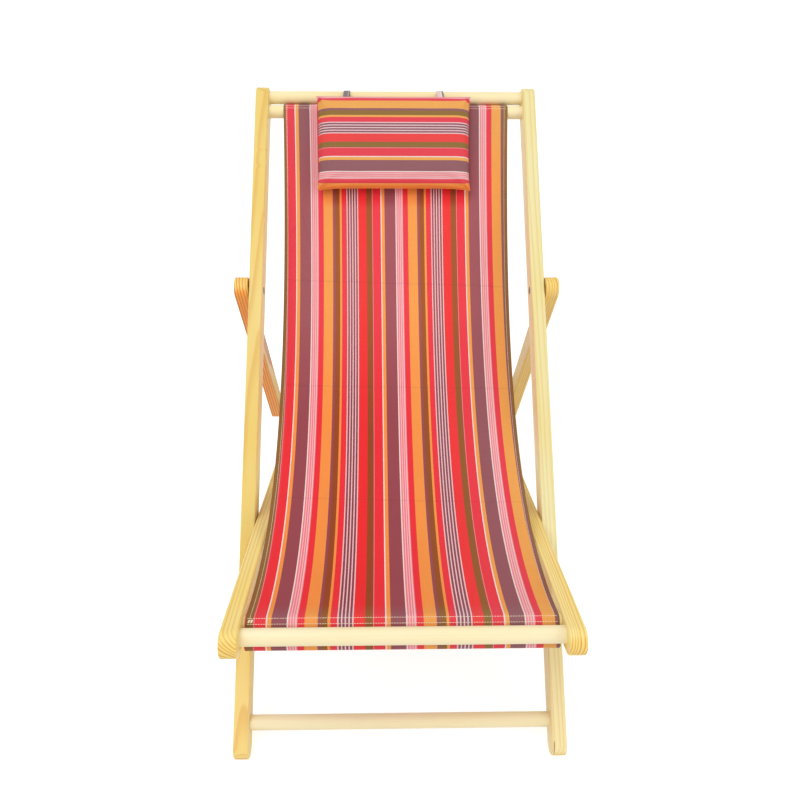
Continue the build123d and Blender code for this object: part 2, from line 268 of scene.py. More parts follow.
# %% [markdown]
# ## Pine, cut from an imaginary log
#
# Pine is pale yellow, with rings that are soft and wide in spring and narrow and honey-coloured in
# late summer. A painted-on stripe gives itself away at the end of a board, where the rings should
# close to arcs. So every rail is cut from an imaginary log whose pith lies somewhere beside it: the
# distance from the pith, slightly shaken by noise, gives the ring, on the faces as on the sawn
# ends.
#
# Each bar says which way it runs, which way is across it, and where its pith lies, so no two match.
# A knot is a dark core with the rings bent round it. The sawn ends soak up more lacquer and go a
# deeper honey, and rubbed edges are a little paler.

# %% Pine finish
pine_pale = paint(238, 211, 118)
pine_cream = paint(240, 222, 152)
pine_honey = paint(220, 160, 74)
pine_white = paint(243, 232, 198)
# Painted warm reflection for broad faces in shade: an orange ground and amber late wood.
painted_bounce_orange = paint(248, 152, 40)
painted_bounce_amber = paint(200, 98, 26)
pine_end = paint(216, 142, 66)
pine_knot = paint(122, 74, 34)
ring_shake = 0.008
ring_spread = 0.014
fibres = 900
rub_wide, rub_narrow = 0.0025, 0.0004
# From this tint value the broad faces take the painted orange reflection.
painted_bounce_from = 0.2
lacquer = {"Specular IOR Level": 0.25, "Coat Weight": 0.05, "Coat Roughness": 0.3}


def pine(
    name, along, across, middle, pith, ring, lean=0.012, contrast=0.6, warm=0.0,
    half=None, knots=(), split=None, tone=None,
):
    """Pine for one bar: its direction, its broad direction, its middle and where its pith lies.

    A tint value tints the wood to honey; from 0.2 it paints the broad faces orange, a warm
    reflection on a face in shade. Below zero it tints the wood to white.
    """
    along = Vector(along).normalized()
    across = Vector(across).normalized()
    aside = along.cross(across)
    finish = Finish(name)
    sockets = {0: finish.object_point(), 1: tuple(middle)}
    point = finish.node("ShaderNodeVectorMath", {"operation": "SUBTRACT"}, sockets)
    length = finish.dot(point, along)
    broad = finish.dot(point, across)
    thick = finish.dot(point, aside)

    shake_at = finish.joined(length * 2.2 + pith[0] * 40, broad * 16, thick * 16 + pith[1] * 30)
    shake = finish.noise(shake_at, 1.0, 2.0) - 0.5
    from_pith_broad = broad - pith[0] + length * lean
    from_pith_thick = thick - pith[1] - length * lean * 0.4
    radius = (from_pith_broad * from_pith_broad + from_pith_thick * from_pith_thick).root()
    radius = radius + shake * ring_shake
    knot_cores = []
    for reach, off, wide in knots:
        gap_along, gap_across = length - reach, broad - off
        gap = (gap_along * gap_along * 0.35 + gap_across * gap_across).root()
        radius = radius + (1 - gap.step(0.0, wide * 3.0)) * wide * 0.9
        knot_cores.append(1 - gap.step(wide * 0.35, wide))

    season_at = finish.joined(radius * 55, pith[0] * 30, pith[1] * 30)
    season = finish.noise(season_at, 1.0, 1.0)
    year = ((radius + (season - 0.5) * ring_spread) / ring).fraction()
    late = year.step(0.42, 0.90) * (1 - year.step(0.93, 1.0)) * (0.35 + season * 1.1)
    fibre_at = finish.joined(length * 9, broad * fibres, thick * fibres)
    fibre = finish.noise(fibre_at, 1.0, 3.0, 0.6)
    cloud_at = finish.joined(length * 3.5 + pith[1] * 25, broad * 20, thick * 20)
    cloud = finish.noise(cloud_at, 1.0, 2.0)
    end_share = finish.facing(along, 0.55, 0.95)

    ground = finish.mix(cloud.step(0.3, 0.7), pine_pale, pine_cream)
    late_wood = pine_honey
    # From 0.2 the broad faces are painted orange, a warm reflection in shade, and the narrow sides
    # get less.
    if warm > painted_bounce_from:
        late_wood = painted_bounce_amber
        amount = (cloud * 0.4 + warm) * (1 - finish.facing(aside) * 0.75)
        ground = finish.mix(amount, ground, painted_bounce_orange)
    elif warm:
        tint = pine_white if warm < 0 else pine_honey
        ground = finish.mix(cloud * 0.4 + abs(warm), ground, tint)
    faces = finish.mix(late * contrast * (0.55 + fibre * 0.7), ground, late_wood)
    ends = finish.mix(late * 0.95 + 0.05, pine_pale, pine_end)
    colour = finish.mix(end_share * 0.85, faces, ends)
    colour = finish.mix(fibre.step(0.62, 0.80) * 0.10, colour, pine_honey)
    for core in knot_cores:
        colour = finish.mix(core * 0.85, colour, pine_knot)
    if split is not None:
        low, high, off = split
        gap = (thick - off + shake * 0.006).size()
        inside = length.step(low, low + 0.002) * (1 - length.step(high - 0.006, high))
        crack = (1 - gap.step(0.0004, 0.0010)) * inside * broad.step(0.012, 0.015)
        colour = finish.mix(crack * 0.8, colour, pine_knot)
    # Painted shade on the broad faces, from one tone at the foot to a darker one towards the top.
    if tone is not None:
        painted_shade_foot_to_top = finish.mix(length.step(-0.30, 0.05), *tone)
        colour = finish.mix(finish.facing(across), colour, painted_shade_foot_to_top, "MULTIPLY")
    rough = 0.40 + late * 0.08 + (fibre - 0.5) * 0.12 + end_share * 0.18
    if half is not None:
        rub = cloud.step(0.35, 0.6)
        for place_in, reach in ((broad, half[0]), (thick, half[1])):
            rub = rub * place_in.size().step(reach - rub_wide, reach - rub_narrow)
        colour = finish.mix(rub * 0.35, colour, pine_cream)
        rough = rough + rub * 0.12
    relief = finish.bump(fibre * 0.35 + late * 0.5, 0.22, 0.0004)
    return finish.surface(colour, rough, relief, lacquer)


# %% [markdown]
# A rail's grain follows its own slope. A knot is a place along the rail from its pivot, a place
# across it and a size. The main rails carry a painted shade on their fronts, one tone at the foot
# and a darker one towards the top, and a small crack opens the foot of the right one.

# %% Pine on the rails
rail_half = (0.020, 0.012)
rail_lines = {
    "main": (seat_pivot, main_slope),
    "seat": (seat_pivot, seat_slope),
    "prop": (prop_pivot, prop_slope),
}
rail_woods = {
    "main_rail_left": {"pith": (-0.052, 0.008), "ring": 0.0046, "lean": 0.018, "contrast": 0.45},
    "main_rail_right": {"pith": (0.046, -0.030), "ring": 0.0060, "lean": -0.010, "contrast": 0.36},
    "seat_rail_left": {"pith": (0.075, 0.062), "ring": 0.0050, "contrast": 0.66},
    "seat_rail_right": {"pith": (0.014, -0.130), "ring": 0.0046, "contrast": 0.66},
    # The left prop's orange is a painted warm reflection on its shaded front.
    "prop_rail_left": {"pith": (0.010, 0.110), "ring": 0.0058, "contrast": 0.90, "warm": 0.60},
    "prop_rail_right": {"pith": (-0.012, -0.120), "ring": 0.0056, "lean": -0.012},
}
# Each main rail's pair of tones is a painted shade on its fronts, darker towards the top.
rail_woods["main_rail_left"].update(
    knots=[(0.696, 0.0185, 0.0012), (0.663, 0.0175, 0.0016), (-0.180, -0.004, 0.0024)],
    tone=(paint(255, 243, 222), paint(243, 235, 216)),
)
rail_woods["main_rail_right"].update(
    warm=-0.16,
    split=(-0.3635, -0.3370, -0.0092),
    tone=(paint(255, 255, 252), paint(243, 250, 251)),
)
rail_woods["seat_rail_right"].update(knots=[(0.310, 0.006, 0.0030)])
rail_woods["prop_rail_right"].update(contrast=0.85, warm=0.08)
for rail_name, wood in rail_woods.items():
    pivot, slope = rail_lines[rail_name.split("_")[0]]
    rail_low, rail_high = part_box(rail_name)
    along = (0.0, math.cos(slope), math.sin(slope))
    across = (0.0, -math.sin(slope), math.cos(slope))
    middle = ((rail_low.x + rail_high.x) / 2, *pivot)
    rail_pine = pine("pine_" + rail_name, along, across, middle, half=rail_half, **wood)
    dress(nodes[rail_name], rail_pine)
print("pine on", len(rail_woods), "rails")

# %% [markdown]
# The round bars are turned from straighter, finer stock. They run across the chair, along X, and
# their rings show as faint long flames. The hem rods inside the cloth are the same wood.

# %% Pine on the round bars
bar_woods = {
    "top_dowel_upper": ((0.020, 0.011), 0.0030, -0.42),
    "top_dowel_lower": ((-0.016, 0.018), 0.0034, -0.46),
    "foot_stretcher": ((0.014, -0.019), 0.0032, -0.58),
    "seat_front_dowel": ((0.022, 0.006), 0.0036, -0.60),
    "seat_inner_dowel": ((-0.018, -0.012), 0.0032, -0.42),
    "seat_rear_stretcher": ((0.012, 0.020), 0.0035, -0.42),
    "prop_crossbar": ((-0.020, 0.009), 0.0033, -0.42),
    "top_hem_rod": ((0.010, 0.008), 0.0026, -0.42),
    "front_hem_rod": ((-0.009, 0.010), 0.0026, -0.42),
}
bar_lean = 0.006
bar_contrast = 0.08
for bar_name, (pith, ring, warm) in bar_woods.items():
    lines = ((1, 0, 0), (0, 0, 1), (0.0, *dowel_middle(bar_name)))
    bar_pine = pine("pine_" + bar_name, *lines, pith, ring, bar_lean, bar_contrast, warm)
    dress(nodes[bar_name], bar_pine)
print("pine on", len(bar_woods), "round bars")

# %% [markdown]
# ## Zinc-plated steel
#
# The pivot bolts, their round nuts and the washers are plated steel. Only the nuts' faces and the
# bolt heads can be seen, sunk flush into the wood. Their colour is a grey mixed in patches with a
# dark brown, and they have fine scratches, so noise at two sizes stirs the colour and the
# roughness.

# %% Steel finish
steel = Finish("plated_steel")
point = steel.object_point()
cloud = steel.noise(point, 260.0, 3.0)
scratch_at = steel.joined(steel.dot(point, (0, 2400, 0)), steel.dot(point, (0, 0, 160)), 0.0)
scratch = steel.noise(scratch_at, 1.0, 2.0)
colour = steel.mix(cloud.step(0.3, 0.7), paint(132, 122, 112), paint(96, 76, 60))
rough = 0.38 + cloud * 0.18 + scratch.step(0.55, 0.75) * 0.12
steel.surface(colour, rough, steel.bump(scratch, 0.12, 0.0001), {"Metallic": 1.0})
for joint_name in ("seat", "prop"):
    for kind in ("bolts", "nuts", "washers"):
        dress(nodes[f"{joint_name}_pivot_{kind}"], steel.owner)
print("steel on the bolts, nuts and washers")

# %% [markdown]
# ## The stripes
#
# The canvas is woven with one repeat of stripes after another, about 161 mm wide: broad bands of
# red, orange, plum and olive, two groups of fine lines, and narrow cream edges. The repeat is a
# list of colours and widths, from left to right, and a colour ramp with hard steps turns a place in
# the repeat into its colour. A woven edge is never ruler-straight, so the place is shaken by a
# fraction of a thread first.
#
# Every colour has three states: its own, and two copies under a faint and a strong painted
# sheen, in which reds go pink, plum goes grey and brown goes green. The cloth is mixed from them.

# %% Stripe list
cloth_colours = {
    "cream": ((246, 230, 222), (248, 232, 228), (240, 226, 222)),
    "pink": ((249, 132, 144), (250, 140, 150), (246, 140, 150)),
    "rose": ((248, 130, 142), (250, 142, 153), (244, 146, 153)),
    "blush": ((250, 200, 202), (248, 208, 206), (238, 206, 208)),
    "scarlet": ((244, 44, 48), (250, 62, 60), (240, 74, 74)),
    "red": ((243, 48, 58), (246, 68, 80), (233, 72, 86)),
    "orange": ((252, 151, 71), (255, 168, 84), (241, 173, 90)),
    "plum": ((155, 73, 82), (171, 92, 100), (149, 99, 105)),
    "dark": ((138, 64, 76), (172, 88, 100), (146, 96, 106)),
    "olive": ((155, 71, 30), (171, 92, 46), (146, 113, 60)),
    "slate": ((134, 120, 122), (136, 122, 124), (134, 124, 124)),
}
repeat_bands = [("cream", 1.5), ("orange", 6.0), ("plum", 21.7)]
repeat_bands += [("cream", 2.1), ("rose", 2.4), ("blush", 1.4), ("rose", 2.4)]
repeat_bands += [("blush", 1.4), ("rose", 2.4), ("blush", 1.6), ("rose", 1.6)]
before_broad_orange = len(repeat_bands) + 1
repeat_bands += [("red", 10.0), ("orange", 18.0), ("plum", 5.0), ("olive", 9.0)]
repeat_bands += [("orange", 3.8), ("red", 10.2)]
repeat_bands += [("blush", 1.9), ("dark", 3.375)] * 4 + [("blush", 1.9)]
repeat_bands += [("scarlet", 16.5), ("olive", 11.0), ("pink", 1.6), ("red", 15.8)]
repeat_width = 0.16125


def stripe_stops(bands, state):
    """Ramp stops for a list of (colour, width), over one repeat, in one painted sheen state."""
    total = sum(width for _, width in bands)
    stops = []
    start = 0.0
    for colour, width in bands:
        stops.append((start / total, paint(*cloth_colours[colour][state])))
        start += width
    return stops


print(len(repeat_bands), "bands in a repeat of", repeat_width)

# %% [markdown]
# ## Canvas as cloth
#
# Up close, canvas is a plain weave: each thread goes over one and under the next. Two sine waves,
# one across the cloth and one along it, multiplied together, rise and sink just like that, and feed
# the bump. Uneven yarn adds longer streaks along the stripes. Cloth scatters light softly, so it is
# rough, with a little sheen.
#
# A crease is a line between two places on the cloth: a little darker, as painted shade, a little
# lower, and fading out at its ends.

# %% Cloth finish
thread_width = 0.00085
stripe_wander = 0.0003
crease_wander = 0.002
crease_fade = 0.012
crease_core, crease_edge = 0.0003, 0.0024
painted_crease_shade = paint(96, 52, 60)
# Darkest tint for the yarn's own tone and for the painted shade in the weave's dips.
weave_tone_and_shade = paint(205, 196, 196)
soft_shine = {"Specular IOR Level": 0.20, "Sheen Weight": 0.02, "Sheen Roughness": 0.45}


def woven(name, across, along, bands, offset, repeat, painted_sheen, skew=0.0, creases=(), layer=0.0):
    """Striped canvas, from functions for the place across and along the cloth and its painted
    sheen.
    """
    finish = Finish(name)
    over = across(finish)
    down = along(finish)
    wander = finish.noise(finish.joined(over * 40, down * 260, layer), 1.0, 2.0) - 0.5
    stripe_at = ((over - offset + down * skew + wander * stripe_wander) / repeat).fraction()
    # The cloth's own colours and their copies under a faint and a strong painted sheen, mixed by
    # the sheen shares.
    looks = []
    for state in range(3):
        ramp = {"stops": stripe_stops(bands, state)}
        looks.append(finish.node("ShaderNodeValToRGB", ramp, {"Fac": stripe_at}))
    fresh, faint_sheen, strong_sheen = looks
    faint_sheen_share, strong_sheen_share = painted_sheen(over, down)
    stripes = finish.mix(strong_sheen_share, finish.mix(faint_sheen_share, fresh, faint_sheen), strong_sheen)

    warp = (over * (math.pi / thread_width)).sine()
    weft = (down * (math.pi / thread_width)).sine()
    crossing = warp * weft
    yarn = finish.noise(finish.joined(over * 900, down * 26, 0.0), 1.0, 3.0, 0.6)
    pick = finish.noise(finish.joined(over * 22, down * 700, 3.0), 1.0, 2.0, 0.6)
    cloud = finish.noise(finish.joined(over * 14, down * 9, 7.0), 1.0, 3.0)

    # Uneven yarn and cloud vary the cloth's own tone, and the weave's dips get a painted shade.
    tone_and_dip_shade = crossing * 0.05 + (yarn - 0.5) * 0.20 + (pick - 0.5) * 0.14 + (cloud - 0.5) * 0.14
    darker = finish.mix(1.0, stripes, weave_tone_and_shade, "MULTIPLY")
    colour = finish.mix((0.35 - tone_and_dip_shade * 1.4).lower_of(1.0).upper_of(0.0), stripes, darker)
    rough = 0.72 + (yarn - 0.5) * 0.16 - crossing * 0.05
    relief = crossing * 0.5 + yarn * 0.5 + pick * 0.35
    for start, end in creases:
        reach = math.dist(start, end)
        slant_over, slant_down = (end[0] - start[0]) / reach, (end[1] - start[1]) / reach
        from_over, from_down = over - start[0], down - start[1]
        line_at = from_over * slant_over + from_down * slant_down
        off_line = from_over * slant_down - from_down * slant_over + wander * crease_wander
        inside = line_at.step(0.0, crease_fade) * (1 - line_at.step(reach - crease_fade, reach))
        line = (1 - off_line.size().step(crease_core, crease_edge)) * inside
        # Painted shade along the crease.
        colour = finish.mix(line * 0.10, colour, painted_crease_shade)
        relief = relief - line * 2.5
    return finish.surface(colour, rough, finish.bump(relief, 0.30, 0.0003), soft_shine)


def cloth_place(way, size, middle=0.0):
    """A function that gives the place across (X) or along (Y) swept cloth, from its UV map."""

    def position(finish):
        uv = finish.node("ShaderNodeUVMap", {"uv_map": "cloth"})
        return (finish.node("ShaderNodeSeparateXYZ", None, {0: uv}, way) - middle) * size

    return position


# %% [markdown]
# ## Where the sling hangs
#
# A strip of cloth that hangs from two bars and carries only itself takes the shape of a hanging
# chain, a catenary. Its one free number is how slack it is. It leaves both bars as a tangent, so a
# few rounds of guessing and correcting find its lowest point.
#
# The path in side view runs from hem to hem: round the front rod, up between the two seat dowels,
# over the inner one, down and up the catenary, over the lower top dowel, back between the top pair
# and round the top rod. Every point keeps its slope, so that we can step off it towards the sitter.

# %% Catenary between the dowels
cloth_middle = 0.0129  # from a dowel's middle to the middle of the cloth round it
catenary_size = 0.470
front_end = place(inner_dowel, 0, 0, cloth_middle)
back_end = place(lower_dowel, 0, 0, cloth_middle)
for _ in range(40):
    span = back_end[0] - front_end[0]
    climb = back_end[1] - front_end[1]
    half_span = span / (2 * catenary_size)
    lean = catenary_size * math.asinh(climb / (2 * catenary_size * math.sinh(half_span)))
    low_y = (front_end[0] + back_end[0]) / 2 - lean
    front_turn = (front_end[0] - low_y) / catenary_size
    back_turn = (back_end[0] - low_y) / catenary_size
    front_end = place(inner_dowel, math.atan(math.sinh(front_turn)), 0, cloth_middle)
    back_end = place(lower_dowel, math.atan(math.sinh(back_turn)), 0, cloth_middle)
low_z = front_end[1] - catenary_size * (math.cosh(front_turn) - 1)
print("sling's lowest point", round(low_y, 4), round(low_z, 4))


# %% Path of the cloth
def round_bar(centre, radius, start, end, steps):
    """Points clockwise round a bar, each with the slope of the cloth there."""
    made = []
    for step in range(steps + 1):
        angle = start + (end - start) * step / steps
        made.append((place(centre, angle, radius), angle - math.pi / 2))
    return made


def straight(start, end, steps):
    """Points along a straight run of cloth, without its ends."""
    slope = slope_between(start, end)
    made = []
    for step in range(1, steps):
        share = step / steps
        point = (start[0] + (end[0] - start[0]) * share, start[1] + (end[1] - start[1]) * share)
        made.append((point, slope))
    return made


def runs_along(stations):
    """How far along a path each of its stations is."""
    runs = [0.0]
    for (here, _), (there, _) in zip(stations, stations[1:]):
        runs.append(runs[-1] + math.dist(here, there))
    return runs


def above_sling(turn, rise=0.0):
    """A point of the hanging cloth, raised square to it."""
    point = (low_y + catenary_size * turn, low_z + catenary_size * (math.cosh(turn) - 1))
    return place(point, math.atan(math.sinh(turn)), 0, rise)


def hanging(steps):
    """Points of the catenary, without its ends."""
    made = []
    low, high = math.sinh(front_turn), math.sinh(back_turn)
    for step in range(1, steps):
        turn = math.asinh(low + (high - low) * step / steps)
        made.append((above_sling(turn), math.atan(math.sinh(turn))))
    return made


pocket_gap = 0.0009
rod_low, rod_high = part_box("front_hem_rod")
pocket_middle = (rod_high.y - rod_low.y) / 2 + pocket_gap
front_heading = math.pi + seat_slope
front_normal = math.pi / 2 + math.atan(math.sinh(front_turn))
back_normal = math.pi / 2 + math.atan(math.sinh(back_turn))


def meets_pocket(start, slope, rod):
    """Where a straight run of cloth reaches the tube round a rod."""
    along = (rod[0] - start[0]) * math.cos(slope) + (rod[1] - start[1]) * math.sin(slope)
    away = (rod[1] - start[1]) * math.cos(slope) - (rod[0] - start[0]) * math.sin(slope)
    short = math.sqrt(pocket_middle**2 - along**2)
    return place(start, slope, 0, away - math.copysign(short, away))


front_pinch = place(inner_dowel, front_heading, cloth_middle)
front_meet = meets_pocket(front_pinch, front_heading, front_rod)
front_meet_angle = slope_between(front_rod, front_meet)
top_pinch = place(lower_dowel, main_slope, cloth_middle)
top_meet = meets_pocket(top_pinch, main_slope, top_rod)
top_meet_angle = slope_between(top_rod, top_meet)

loop_open = 0.12
loop_turn = 2 * math.pi - 0.16
loop_steps, run_steps, front_steps, hang_steps, back_steps = 26, 4, 10, 96, 14
loop_from, loop_to = front_meet_angle + loop_turn, front_meet_angle + loop_open
path = round_bar(front_rod, pocket_middle, loop_from, loop_to, loop_steps)
path += straight(front_meet, front_pinch, run_steps)
path += round_bar(inner_dowel, cloth_middle, front_heading, front_normal, front_steps)
front_hang = len(path) - 1
path += hanging(hang_steps)
back_hang = len(path)
path += round_bar(lower_dowel, cloth_middle, back_normal, main_slope, back_steps)
path += straight(top_pinch, top_meet, run_steps)
loop_from, loop_to = top_meet_angle - loop_open, top_meet_angle - loop_turn
path += round_bar(top_rod, pocket_middle, loop_from, loop_to, loop_steps)
path_run = runs_along(path)
print("cloth from hem to hem", round(path_run[-1], 4), "in", len(path), "steps")

# %% [markdown]
# ## The canvas sling
#
# A sling is one strip of canvas with its long edges folded under and sewn. A flat grid would do
# from afar, but the folded edge is what makes canvas look made, so each cross-section goes round
# it: from the raw edge underneath, out to the fold, over the top to the other side and under again.
# It is swept along the path, and Solidify gives it the thickness of the cloth.
#
# Between two bars, cloth that has lain folded is never perfectly even. A few shallow waves of about
# a millimetre, fading out at the dowels, take the machine look away.

# %% Canvas sling
sling_low, sling_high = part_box("canvas_sling")
sling_half = (sling_high.x - sling_low.x) / 2
cloth_thick = 0.00055
fold_room = 0.0003
hem_depth = 0.011
middle_steps = 44
cup_depth, wave_depth = 0.0016, 0.0007
fold_half = 0.006
folds = ((0.22, 0.0006), (0.47, 0.0007), (0.715, 0.0008))

hem_under = [-sling_half + inset for inset in (hem_depth, hem_depth * 0.55, 0.0012)]
columns = [(x, -fold_room) for x in hem_under]
for inset, rise in ((0.0003, -0.8), (0.0, 0.0), (0.0003, 0.8)):
    columns.append((-sling_half + inset, fold_room * rise))
columns += [(x, fold_room) for x in reversed(hem_under)]
other_edge = [(-x, rise) for x, rise in reversed(columns)]
inner_half = sling_half - hem_depth
for step in range(1, middle_steps):
    columns.append((-inner_half + 2 * inner_half * step / middle_steps, fold_room))
columns += other_edge


def unevenness(x, share):
    """Shallow waves of the hanging cloth, in metres, across it and along its hanging part."""
    fade = math.sin(math.pi * min(max(share, 0.0), 1.0)) ** 0.5
    rise = -cup_depth * (1 - (x / sling_half) ** 2)
    rise += wave_depth * math.sin(9.0 * share + 11 * x) * math.cos(7.3 * x + 1.1)
    for at, deep in folds:
        rise += deep * math.exp(-(((share - at) / fold_half) ** 2)) * math.sin(13 * x + 40 * at)
    return fade * rise


def only(obj):
    """Selects one object and makes it the active one."""
    bpy.ops.object.select_all(action="DESELECT")
    obj.select_set(True)
    bpy.context.view_layer.objects.active = obj


def modify(obj, kind, **settings):
    """Adds a modifier to an object, sets it up and applies it."""
    only(obj)
    modifier = obj.modifiers.new(kind, kind)
    for key, value in settings.items():
        setattr(modifier, key, value)
    bpy.ops.object.modifier_apply(modifier=modifier.name)


def sweep(name, stations, section, thickness, shape=None):
    """A strip of cloth: a section carried along side view stations, with a UV map in shares."""
    runs = runs_along(stations)
    points = []
    for number, (point, slope) in enumerate(stations):
        for x, rise in section:
            lift = rise + (shape(number, x) if shape else 0.0)
            points.append((x, *place(point, slope, 0, lift)))
    wide = len(section)
    faces = []
    for row in range(len(stations) - 1):
        for column in range(wide - 1):
            corner = row * wide + column
            faces.append((corner, corner + 1, corner + wide + 1, corner + wide))
    mesh = bpy.data.meshes.new(name)
    mesh.from_pydata(points, [], faces)
    layer = mesh.uv_layers.new(name="cloth")
    low_x = min(x for x, _ in section)
    high_x = max(x for x, _ in section)
    for loop in mesh.loops:
        row, column = divmod(loop.vertex_index, wide)
        across_share = (section[column][0] - low_x) / (high_x - low_x)
        layer.data[loop.index].uv = (across_share, runs[row] / runs[-1])
    obj = bpy.data.objects.new(name, mesh)
    bpy.context.scene.collection.objects.link(obj)
    modify(obj, "SOLIDIFY", thickness=thickness, offset=0.0)
    bpy.ops.object.shade_smooth_by_angle(angle=math.radians(50))
    return obj, runs[-1]


def sling_shape(number, x):
    """The unevenness at a station of the path."""
    if not front_hang < number < back_hang:
        return 0.0
    start, end = path_run[front_hang], path_run[back_hang]
    return unevenness(x, (path_run[number] - start) / (end - start))


canvas, canvas_length = sweep("canvas_cloth", path, columns, cloth_thick, sling_shape)

# %% [markdown]
# The stripes run along the canvas, so a place across it is the first UV value times its width. The
# cloth was not laid in quite straight: the left edge shows more olive at the front than at the top,
# so the pattern drifts sideways by a few millimetres on its way down.
#
# A faint painted sheen lies over the back, and a strong one over its edges and top, over the right
# side of the seat and over its bend round the front bar; the folded edges take the strong mix too.
# Under the headrest both are left out, a painted shadow. Three creases run right across where the
# cloth lay folded, and two short ones cross the upper left.

# %% Canvas finish
front_run = path_run[front_hang]
low_run = front_run - catenary_size * math.sinh(front_turn)
# Where the faint painted sheen of the back begins and where it is full.
sheen_from, sheen_to = 0.50, 0.80
top_from, top_to = 0.98, 1.12
# The painted shadow under the headrest: where it begins along the cloth, and its half width.
shade_from, shade_to = low_run + 0.655, low_run + 0.675
shade_half = (0.136, 0.146)
selvedge = (0.198, 0.203)


def sling_painted_sheen(over, down):
    """The shares of the faint and the strong painted sheen at a place on the canvas."""
    back = down.step(sheen_from, sheen_to)
    top = down.step(top_from, top_to)
    bend = 1 - down.step(front_run - 0.004, front_run + 0.030)
    seat_right = (1 - back) * over.upper_of(0.0) * 4.2
    # Strong painted sheen on the seat's right, the back's edges, the top and the front bend.
    strong_sheen = seat_right + back * over * over * 7.0 + top * 0.6 + bend * 0.55
    strong_sheen = strong_sheen.upper_of(over.size().step(*selvedge) * 0.75).lower_of(1.0)
    # Under the headrest both sheens are left out, as a painted shadow.
    outside_painted_shadow = 1 - down.step(shade_from, shade_to) * (1 - over.size().step(*shade_half))
    return back * outside_painted_shadow, strong_sheen * outside_painted_shadow


creases = [((-0.215, 0.519), (0.215, 0.505)), ((-0.215, 0.311), (0.215, 0.303))]
creases += [((-0.215, 0.084), (0.215, 0.070))]
creases += [((-0.207, 0.596), (-0.186, 0.631)), ((-0.183, 0.660), (-0.162, 0.577))]
creases = [[(over, low_run + past_low) for over, past_low in ends] for ends in creases]
first_cream = -0.1846
stripe_skew = 0.0070
canvas_places = (cloth_place("X", 2 * sling_half, 0.5), cloth_place("Y", canvas_length))
canvas_stripes = (repeat_bands, first_cream, repeat_width, sling_painted_sheen, stripe_skew, creases)
dress(canvas, woven("striped_canvas", *canvas_places, *canvas_stripes))
print("stripes on the canvas, with", len(creases), "creases")

# %% [markdown]
# ## Stitches
#
# Each hem is sewn with two rows of cream thread on the wrap round the dowel, and one row runs down
# each folded edge. A stitch is a short bead that dips into the cloth at both ends. One bead is
# modelled, and an Array modifier repeats it along the row. On the folded edges a Curve modifier
# then lays the straight row along the path of the cloth.

# %% One stitch
thread = Finish("cotton_thread")
ply = thread.noise(thread.object_point(), 2600.0, 2.0)
colour = thread.mix(ply.step(0.35, 0.65), paint(246, 236, 214), paint(222, 206, 176))
thread.surface(colour, 0.7 + ply * 0.15, thread.bump(ply, 0.3, 0.0002))
stitch_pitch = 0.0036
stitch_radius = 0.00042
stitch_long = stitch_pitch * 0.80
stitch_dip = stitch_radius * 0.9
end_size = 0.7


def stitch(name):
    """One bead of thread along X, with its ends drawn down."""
    bpy.ops.object.select_all(action="DESELECT")
    size = {"vertices": 6, "radius": stitch_radius, "depth": stitch_long}
    bpy.ops.mesh.primitive_cylinder_add(**size, rotation=(0, math.pi / 2, 0))
    bead = bpy.context.active_object
    bead.name = name
    bpy.ops.object.transform_apply()
    bpy.ops.object.mode_set(mode="EDIT")
    bpy.ops.mesh.select_all(action="SELECT")
    bpy.ops.mesh.bisect(plane_co=(0, 0, 0), plane_no=(1, 0, 0))
    bpy.ops.mesh.select_all(action="DESELECT")
    bpy.ops.object.mode_set(mode="OBJECT")
    for vertex in bead.data.vertices:
        vertex.select = abs(vertex.co.x) > stitch_pitch * 0.3
    bpy.ops.object.mode_set(mode="EDIT")
    bpy.ops.transform.translate(value=(0, 0, -stitch_dip))
    bpy.ops.transform.resize(value=(1, end_size, end_size), center_override=(0, 0, -stitch_dip))
    bpy.ops.object.mode_set(mode="OBJECT")
    return bead


def repeated(obj, count, step):
    """Repeats an object's mesh, one step apart."""
    constant = {"use_relative_offset": False, "use_constant_offset": True}
    modify(obj, "ARRAY", count=count, constant_offset_displace=step, **constant)


def row_of_stitches(name, length):
    """A straight row of stitches along X, from 0 to its length."""
    bead = stitch(name)
    count = int(length / stitch_pitch)
    repeated(bead, count, (stitch_pitch, 0, 0))
    bpy.ops.object.mode_set(mode="EDIT")
    bpy.ops.mesh.select_all(action="SELECT")
    bpy.ops.transform.translate(value=((length - (count - 1) * stitch_pitch) / 2, 0, 0))
    bpy.ops.object.mode_set(mode="OBJECT")
    return bead


def settle(obj):
    """Puts an object's place into its mesh and smooths it."""
    only(obj)
    bpy.ops.object.transform_apply()
    bpy.ops.object.shade_smooth_by_angle(angle=math.radians(60))


print("stitches of", stitch_long, "every", stitch_pitch)

# %% [markdown]
# The rows across the hems lie round a dowel, each at its own angle. At the front left corner the
# sewing ends in a small block of lock stitches, which is one short row repeated.

# %% Rows across the hems
thread_rise = fold_room + cloth_thick / 2 + stitch_radius * 0.35
row_inset = 0.002
lock_inset, lock_long, lock_rows, lock_step = 0.0024, 0.0078, 6, (0.0003, 0.0007, 0)


def lay_round(row, centre, degrees, inset, body):
    """Lays a straight row on the cloth round a dowel, from the left edge inwards."""
    angle = math.radians(degrees)
    row.rotation_euler = (angle - math.pi / 2, 0, 0)
    row.location = (-sling_half + inset, *place(centre, angle, cloth_middle + thread_rise))
    settle(row)
    dress(row, thread.owner)
    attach(row, body)


